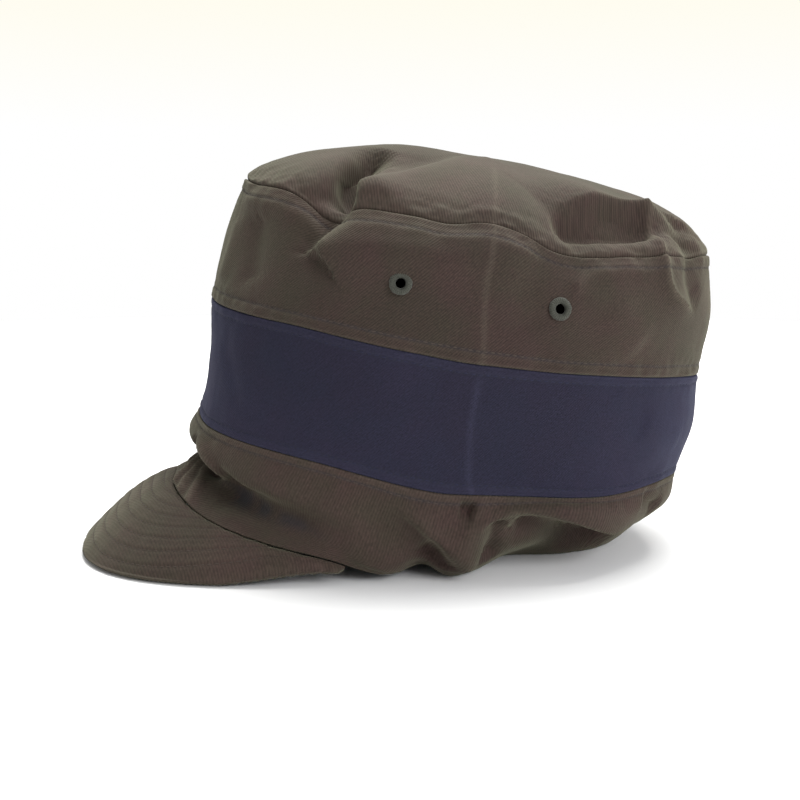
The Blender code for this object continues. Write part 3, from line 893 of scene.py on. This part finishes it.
def cutHole(panel, middle, radius):
    # a round hole right through both skins
    bpy.ops.object.select_all(action="DESELECT")
    bpy.ops.mesh.primitive_cylinder_add(vertices=32, radius=radius, depth=0.012)
    cutter = bpy.context.object
    cutter.matrix_world = middle
    hole = panel.modifiers.new("eyelet hole", "BOOLEAN")
    hole.operation, hole.solver, hole.object = "DIFFERENCE", "EXACT", cutter
    bpy.context.view_layer.objects.active = panel
    bpy.ops.object.modifier_apply(modifier=hole.name)
    bpy.data.objects.remove(cutter, do_unlink=True)


def eyeletRing(name, middle):
    # satin stitches laid side by side from the rim into the hole
    look = eyeletLook
    turns = look["stitches"] * look["perStitch"]
    width, centre = (look["outer"] - look["hole"]) / 2, (look["outer"] + look["hole"]) / 2
    corners = []
    for i in range(look["rows"] + 1):
        t = math.pi * look["roundedTo"] * i / look["rows"] - math.pi * 0.02
        radius = centre + width * math.cos(t)
        height = look["rise"] * math.sin(t) if t < math.pi else look["tuck"] * (math.pi - t)
        for j in range(turns):
            angle = 2 * math.pi * j / turns
            ridge = abs(math.sin(angle * look["stitches"] / 2))
            uneven = 1 + 0.012 * math.sin(angle * 5 + 1) + 0.010 * math.sin(angle * 13)
            lift = look["ridge"] * (ridge**0.6 - 0.5) * max(0.0, math.sin(min(t, math.pi)))
            r = radius * (uneven if radius > centre else 1.0) + lift * math.cos(t)
            up = max(height, -look["deepest"]) + lift
            corners.append(middle @ Vector((r * math.cos(angle), r * math.sin(angle), up)))
    faces = ringFaces(look["rows"] + 1, turns)
    # the wall inside the cloth closes the ring from its hole back to its rim
    last = turns * look["rows"]
    faces += [(last + j, last + (j + 1) % turns, (j + 1) % turns, j) for j in range(turns)]
    return makeMesh(name, corners, faces, np.zeros((len(corners), 2)), [], eyeletThread)


for eyeletName, (angle, share) in eyeletPlaces.items():
    middle = eyeletFrame(angle, share)
    cutHole(upper, middle, eyeletLook["cut"])
    ring = eyeletRing(eyeletName + "_ring", middle)
    finishPiece(ring, [eyeletName])
finishPiece(upper, ["upper_panel"])
upperStitches = seamRows(upper, upperOuter, upperNormals, upperPlaces, upperCut, oliveThread)
finishPiece(upperStitches, [])
print("upper panel and eyelets made")

# The top panel, which closes at its middle
topCut = {
    "levels": (3.0, 3.985),
    "length": 0.088,
    "seams": (0.0, None),
    "crumpleShape": (1, 1, 1),
    "weaveTurn": 40,
    "weaveSize": 0.8,
    "pucker": 1.8,
    "seed": 37,
    "folds": [
        # kind, width, rise, wear, path of (angle, level)
        ("sharp", 0.0016, 0.0003, 0.12, [(86, 3.01), (86, 3.12), (86, 3.26), (87, 3.52)]),
        ("soft", 0.0055, -0.0036, 0.0, [(44, 3.01), (44, 3.05), (43, 3.10), (41, 3.17)]),
        ("soft", 0.0060, -0.0110, 0.0,
         [(44, 3.05), (42, 3.12), (39, 3.20), (34, 3.30), (27, 3.42), (15, 3.54)]),
        ("step", 0.0075, 0.0066, 0.03,
         [(48, 3.03), (47, 3.07), (44, 3.15), (39, 3.30), (31, 3.42), (18, 3.52)]),
        ("step", 0.0100, 0.0095, 0.0,
         [(141, 3.10), (143, 3.15), (138, 3.205), (127, 3.235), (115, 3.205), (105, 3.14)]),
        ("soft", 0.0055, -0.0060, 0.0, [(103, 3.09), (112, 3.11), (124, 3.12), (134, 3.12), (142, 3.10)]),
        ("sharp", 0.0030, 0.0034, 0.20, [(134, 3.01), (135, 3.05), (138, 3.11), (142, 3.17), (146, 3.24)]),
        ("soft", 0.0060, -0.0034, 0.0, [(146, 3.01), (148, 3.08), (152, 3.14)]),
        ("soft", 0.0016, 0.0003, 0.03, [(60, 3.04), (68, 3.05), (78, 3.04), (90, 3.05), (98, 3.04)]),
    ],
}
top = panelPiece("crown_top_cloth", topCut, olive)[0]
finishPiece(top, ["crown_top"])
print("top made")

# The lower panel, crumpled over the brim and tucked under at the back
lowerCut = {
    "levels": (0.0, 1.0),
    "length": 0.050,
    "seams": (0.0, 0.0032),
    "crumpleShape": (1, 1, 1),
    "weaveTurn": -20,
    "weaveSize": 0.75,
    "pucker": 1.0,
    "seed": 51,
    "folds": [
        # kind, width, rise, wear, path of (angle, level)
        # the pinch over the brim: its pocket, the lip beside it, and the pleats that run out from it
        ("soft", 0.0040, -0.0048, 0.0, [(10, 0.78), (15, 0.70), (17, 0.58), (15, 0.44), (11, 0.34)]),
        ("soft", 0.0026, 0.0028, 0.20,
         [(11, 0.88), (17, 0.82), (22, 0.74), (24, 0.62), (22, 0.48), (18, 0.34)]),
        ("sharp", 0.0018, 0.0030, 0.40, [(10, 0.56), (5, 0.42), (4, 0.30), (7, 0.20), (10, 0.03)]),
        ("sharp", 0.0018, 0.0028, 0.40, [(12, 0.56), (8, 0.42), (8, 0.30), (11, 0.19), (15, 0.02)]),
        ("sharp", 0.0018, 0.0028, 0.40, [(14, 0.56), (11, 0.42), (12, 0.30), (16, 0.20), (20, 0.02)]),
        ("sharp", 0.0018, 0.0022, 0.25, [(6, 0.54), (1, 0.40), (0, 0.28), (1, 0.10)]),
        # the slack valley along the middle and the lobe's heavy edge
        ("soft", 0.0075, -0.0030, 0.0, [(20, 0.32), (30, 0.38), (38, 0.44), (46, 0.47), (56, 0.44)]),
        ("soft", 0.0050, 0.0018, 0.0, [(26, 0.62), (38, 0.68), (50, 0.68), (60, 0.66), (68, 0.62)]),
        ("soft", 0.0060, -0.0030, 0.0, [(62, 0.66), (70, 0.66), (76, 0.62), (80, 0.56), (84, 0.48)]),
        # the strip under the band drapes over the lobe and gathers in an upright column
        ("step", 0.0036, 0.0044, 0.05,
         [(86, 0.36), (86, 0.50), (85, 0.58), (83, 0.66), (80, 0.72), (77, 0.78), (72, 0.84), (66, 0.87)]),
        ("soft", 0.0040, -0.0040, 0.0, [(78, 0.66), (82, 0.58), (85, 0.50), (86, 0.40)]),
        ("soft", 0.0060, 0.0036, 0.03, [(91, 0.84), (91, 0.74), (90, 0.62), (90, 0.50), (90, 0.36)]),
        ("soft", 0.0032, -0.0045, 0.0, [(88, 0.90), (90, 0.89), (92, 0.87)]),
        ("soft", 0.0045, -0.0050, 0.0, [(97, 0.82), (98, 0.70), (98, 0.54), (97, 0.38)]),
        # behind it the cloth is creased and tucked under
        ("step", 0.0036, 0.0052, 0.12,
         [(152, 0.40), (136, 0.52), (122, 0.66), (110, 0.76), (101, 0.84), (95, 0.89)]),
        ("soft", 0.0085, -0.0085, 0.0, [(99, 0.72), (108, 0.62), (120, 0.52), (134, 0.40), (148, 0.30)]),
        ("soft", 0.0040, -0.0030, 0.0, [(138, 0.90), (141, 0.80), (146, 0.68)]),
        ("soft", 0.0026, 0.0010, 0.0, [(102, 0.93), (112, 0.91), (124, 0.88), (132, 0.85)]),
    ],
    "hemLifts": [
        # angle, half width, top level, up, inward share
        (78, 6, 0.66, 0.0050, 0.08),
        (118, 18, 0.62, 0.0, 0.21),
    ],
    # painted shade: dark bluish patches laid along the slack valley, where shade falls
    "paintedShadePatches": [
        # angle, level, half width, half height, strength
        (28, 0.37, 5.0, 0.08, 0.72),
        (37, 0.40, 6.0, 0.07, 0.58),
        (47, 0.43, 6.0, 0.06, 0.48),
    ],
}
lower, lowerOuter, lowerNormals, lowerPlaces = panelPiece("lower_panel_cloth", lowerCut, olive)
finishPiece(lower, ["lower_panel"])
lowerStitches = seamRows(lower, lowerOuter, lowerNormals, lowerPlaces, lowerCut, oliveThread)
finishPiece(lowerStitches, [])
print("lower panel made")

# The brim: two twill layers over a stiffener, quilted with rows that follow its outer edge
brimCut = {
    "halfAngle": math.radians(60),
    "reach": 0.037,
    "thick": 0.0030,
    "bulge": 0.0040,
    "cornerPower": 2.7,
    "flare": 0.002,
    "cornerSet": 0.003,
    "seamGap": 0.0003,
    "columns": 240,
    "rows": 90,
    "stitchRows": (0.0046, 0.0092, 0.0138, 0.0184, 0.0232, 0.0280, 0.0330),
    "quilt": 0.00028,
    "grooveHalf": 0.0007,
    "rootStep": 0.025,
    "crowdedOut": 0.8,
    "rootRim": 0.75,
    "rootReach": 0.003,
    "thinnest": 0.6,
    "weaveTurn": 28,
    "weaveSize": 0.8,
    "edgeWear": 0.14,
    "rowWear": 0.05,
    "wrinkles": [
        # height, size, seed
        (0.00018, 0.008, 71),
        (0.0004, 0.03, 72),
    ],
}
brimEdge = [
    # turn, share of the reach above the floor
    (-90, 0.16),
    (-75, 0.06),
    (-55, 0.00),
    (-30, 0.00),
    (0, 0.05),
    (30, 0.00),
    (55, 0.00),
    (75, 0.06),
    (90, 0.16),
]


def brimTop(cut):
    # rows of places from the seam out to the edge, arched between them
    share = np.linspace(-1, 1, cut["columns"] + 1)
    degrees = np.degrees(share * cut["halfAngle"])
    root, back = surface(degrees, np.array([0.0, cut["rootStep"]]))
    away = root - back
    away /= np.linalg.norm(away, axis=-1, keepdims=True)
    root = root + away * cut["seamGap"]
    corner = root[-1]
    turn = share * math.pi / 2
    edgeUp = smoothCurve(*np.array(brimEdge, float).T, np.degrees(turn))
    power = 2 / cut["cornerPower"]
    length = root[:, 1].max() - root[:, 1].min() + cut["reach"]
    edge = np.stack(
        [
            np.sign(turn) * np.abs(np.sin(turn)) ** power * (corner[0] + cut["flare"]),
            corner[1] - cut["cornerSet"] - np.abs(np.cos(turn)) ** power * (length - cut["cornerSet"]),
            edgeUp * cut["reach"],
        ],
        axis=-1,
    )
    width = np.linalg.norm(edge - root, axis=-1)
    rows = []
    for step in np.linspace(0, 1, cut["rows"] + 1) ** cut["crowdedOut"]:
        line = root + (edge - root) * step
        line[:, 2] += cut["bulge"] * 4 * step * (1 - step) * width / width.max()
        rows.append(line)
    return np.array(rows) + capShift


def brimPiece(cut, look):
    top = brimTop(cut)
    up = np.cross(np.gradient(top, axis=0), np.gradient(top, axis=1))
    up /= np.linalg.norm(up, axis=-1, keepdims=True)
    up *= np.where(up[..., 2:] < 0, -1, 1)
    edge = top[-1]
    flat = top.reshape(-1, 3)
    fromEdge = np.min(np.linalg.norm(flat[:, None, :2] - edge[None, ::2, :2], axis=-1), axis=1)
    fromEdge = fromEdge.reshape(top.shape[:2])
    fromRoot = np.linalg.norm(top - top[0], axis=-1)
    half = cut["thick"] / 2
    rim = np.sqrt(1 - np.clip(1 - fromEdge / half, 0, 0.98) ** 2)
    rim *= cut["rootRim"] + (1 - cut["rootRim"]) * smoothStep(fromRoot / cut["rootReach"])
    quilt = np.zeros_like(fromEdge)
    for distance in cut["stitchRows"]:
        quilt -= cut["quilt"] * np.exp(-(((fromEdge - distance) / cut["grooveHalf"]) ** 2))
    for height, size, seed in cut["wrinkles"]:
        quilt += height * softNoise(top, size, seed)
    under = top - up * cut["thick"]
    under[..., 2] = np.maximum(under[..., 2], clothLook["aboveFloor"])
    top[..., 2] = np.maximum(top[..., 2], under[..., 2] + cut["thick"] * cut["thinnest"])
    middle = (top + under) / 2
    topSide = middle + (top - middle) * rim[..., None] + up * quilt[..., None]
    underSide = middle + (under - middle) * rim[..., None] - up * quilt[..., None] * 0.6
    underSide[..., 2] = np.maximum(underSide[..., 2], clothLook["aboveFloor"])
    rows, columns = topSide.shape[:2]
    count = rows * columns
    faces = ringFaces(rows, columns, closed=False, flip=True) + ringFaces(rows, columns, count, closed=False)
    border = list(range(columns - 1))
    border += [i * columns + columns - 1 for i in range(rows - 1)]
    border += [(rows - 1) * columns + j for j in range(columns - 1, 0, -1)]
    border += [i * columns for i in range(rows - 1, 0, -1)]
    for a, b in zip(border, border[1:] + border[:1]):
        faces.append((a, b, count + b, count + a))
    corners = np.concatenate([topSide.reshape(-1, 3), underSide.reshape(-1, 3)])
    uvs = turned(corners[:, :2], cut["weaveTurn"], cut["weaveSize"])
    wear = cut["edgeWear"] * np.exp(-((fromEdge / 0.0012) ** 2))
    for distance in cut["stitchRows"]:
        wear += cut["rowWear"] * np.exp(-(((fromEdge - distance - 0.0016) / 0.0009) ** 2))
    wear = np.concatenate([wear.ravel(), wear.ravel() * 0.5])
    piece = makeMesh("brim_quilted", corners, faces, uvs, [wear], look)
    lines = []
    for distance in cut["stitchRows"]:
        line, outward = [], []
        for j in range(1, columns - 1):
            column = fromEdge[:, j]
            inside = np.nonzero(column < distance)[0]
            if not len(inside) or inside[0] == 0:
                continue
            i = inside[0]
            t = (column[i - 1] - distance) / (column[i - 1] - column[i])
            line.append(topSide[i - 1, j] * (1 - t) + topSide[i, j] * t)
            outward.append(up[i, j])
        if len(line) > 5:
            lines.append((np.array(line), np.array(outward), False))
    return piece, lines


brim, brimLines = brimPiece(brimCut, olive)
finishPiece(brim, ["brim"])
brimStitches = sewRows("brim_stitches", brimLines, oliveThread)
finishPiece(brimStitches, [])
print("brim made")

# Floor, light and camera
stageLook = {
    "floorSize": 1.1,
    "floorColour": "f2f2f2",
    "backdropLow": "ffffff",
    "backdropHigh": "fffcee",
    "worldStrength": 0.58,
    "keyPower": 41,
    "keySize": 1.2,
    "keyAt": (-0.46, 0.28, 1.42),
    "keyAim": (0, 0, 0.08),
    "keyColour": (1, 1, 0.97),
    "fillPower": 21,
    "fillSize": 0.8,
    "fillAt": (1.35, 0.80, 0.75),
    "fillAim": (0, 0.05, 0.08),
    "fillColour": (0.97, 0.98, 1.0),
}
bpy.ops.object.select_all(action="DESELECT")
bpy.ops.mesh.primitive_circle_add(vertices=96, radius=stageLook["floorSize"], fill_type="NGON")
floor = bpy.context.object
floor.name = "floor"
floorMaterial, floorTree, floorShader = newMaterial("matt white table top")
grain = addNode(floorTree, "ShaderNodeTexNoise", {"Scale": 40.0}).outputs[0]
floorShade = ranged(floorTree, grain, 0, 1, 0.97, 1.0)
setInputs(floorTree, floorShader, {
    "Base Color": scaled(floorTree, hexColour(stageLook["floorColour"])[:3], floorShade),
    "Roughness": 0.9,
})
floor.data.materials.append(floorMaterial)

world = bpy.data.worlds.new("white room")
world.use_nodes = True
room = world.node_tree
# the wall behind is white to the lens, while the room gives a softer light
seen = addNode(room, "ShaderNodeLightPath").outputs["Is Camera Ray"]
toward = addNode(room, "ShaderNodeTexCoord").outputs["Generated"]
rise = addNode(room, "ShaderNodeSeparateXYZ", {0: toward}).outputs["Z"]
warmth = times(room, ranged(room, rise, 0.05, 0.15), seen)
setInputs(room, room.nodes["Background"], {
    0: mixed(room, warmth, hexColour(stageLook["backdropLow"]), hexColour(stageLook["backdropHigh"])),
    1: ranged(room, seen, 0, 1, stageLook["worldStrength"], 1.0),
})
bpy.context.scene.world = world


def areaLight(name, look, part):
    at, aim = Vector(look[part + "At"]), Vector(look[part + "Aim"])
    lamp = bpy.data.lights.new(name, "AREA")
    lamp.shape, lamp.size, lamp.energy = "DISK", look[part + "Size"], look[part + "Power"]
    lamp.color = look[part + "Colour"]
    light = bpy.data.objects.new(name, lamp)
    light.location = at
    light.rotation_euler = (aim - at).to_track_quat("-Z", "Y").to_euler()
    bpy.context.scene.collection.objects.link(light)


areaLight("overhead softbox", stageLook, "key")
areaLight("side fill", stageLook, "fill")

cameraLook = {
    "azimuth": 83,
    "distance": 0.560,
    "aside": 0.002,
    "height": 0.139,
    "pitch": math.radians(8.36),
    "lens": 61.24,
    "sensor": 36,
}
turn = math.radians(cameraLook["azimuth"])
back = Vector((math.sin(turn), -math.cos(turn), 0))
right = Vector((-back.y, back.x, 0))
forward = -back * math.cos(cameraLook["pitch"]) - Vector((0, 0, math.sin(cameraLook["pitch"])))
lens = bpy.data.cameras.new("camera")
lens.lens, lens.sensor_width = cameraLook["lens"], cameraLook["sensor"]
lens.clip_start = 0.01
camera = bpy.data.objects.new("camera", lens)
camera.location = back * cameraLook["distance"] + right * cameraLook["aside"]
camera.location.z = cameraLook["height"]
camera.rotation_euler = forward.to_track_quat("-Z", "Y").to_euler()
bpy.context.scene.collection.objects.link(camera)
bpy.context.scene.camera = camera
bpy.context.scene.view_settings.view_transform = "Standard"
print("stage, light and camera set")

print("triangles:", sum(len(face.vertices) - 2 for piece in pieces for face in piece.data.polygons))
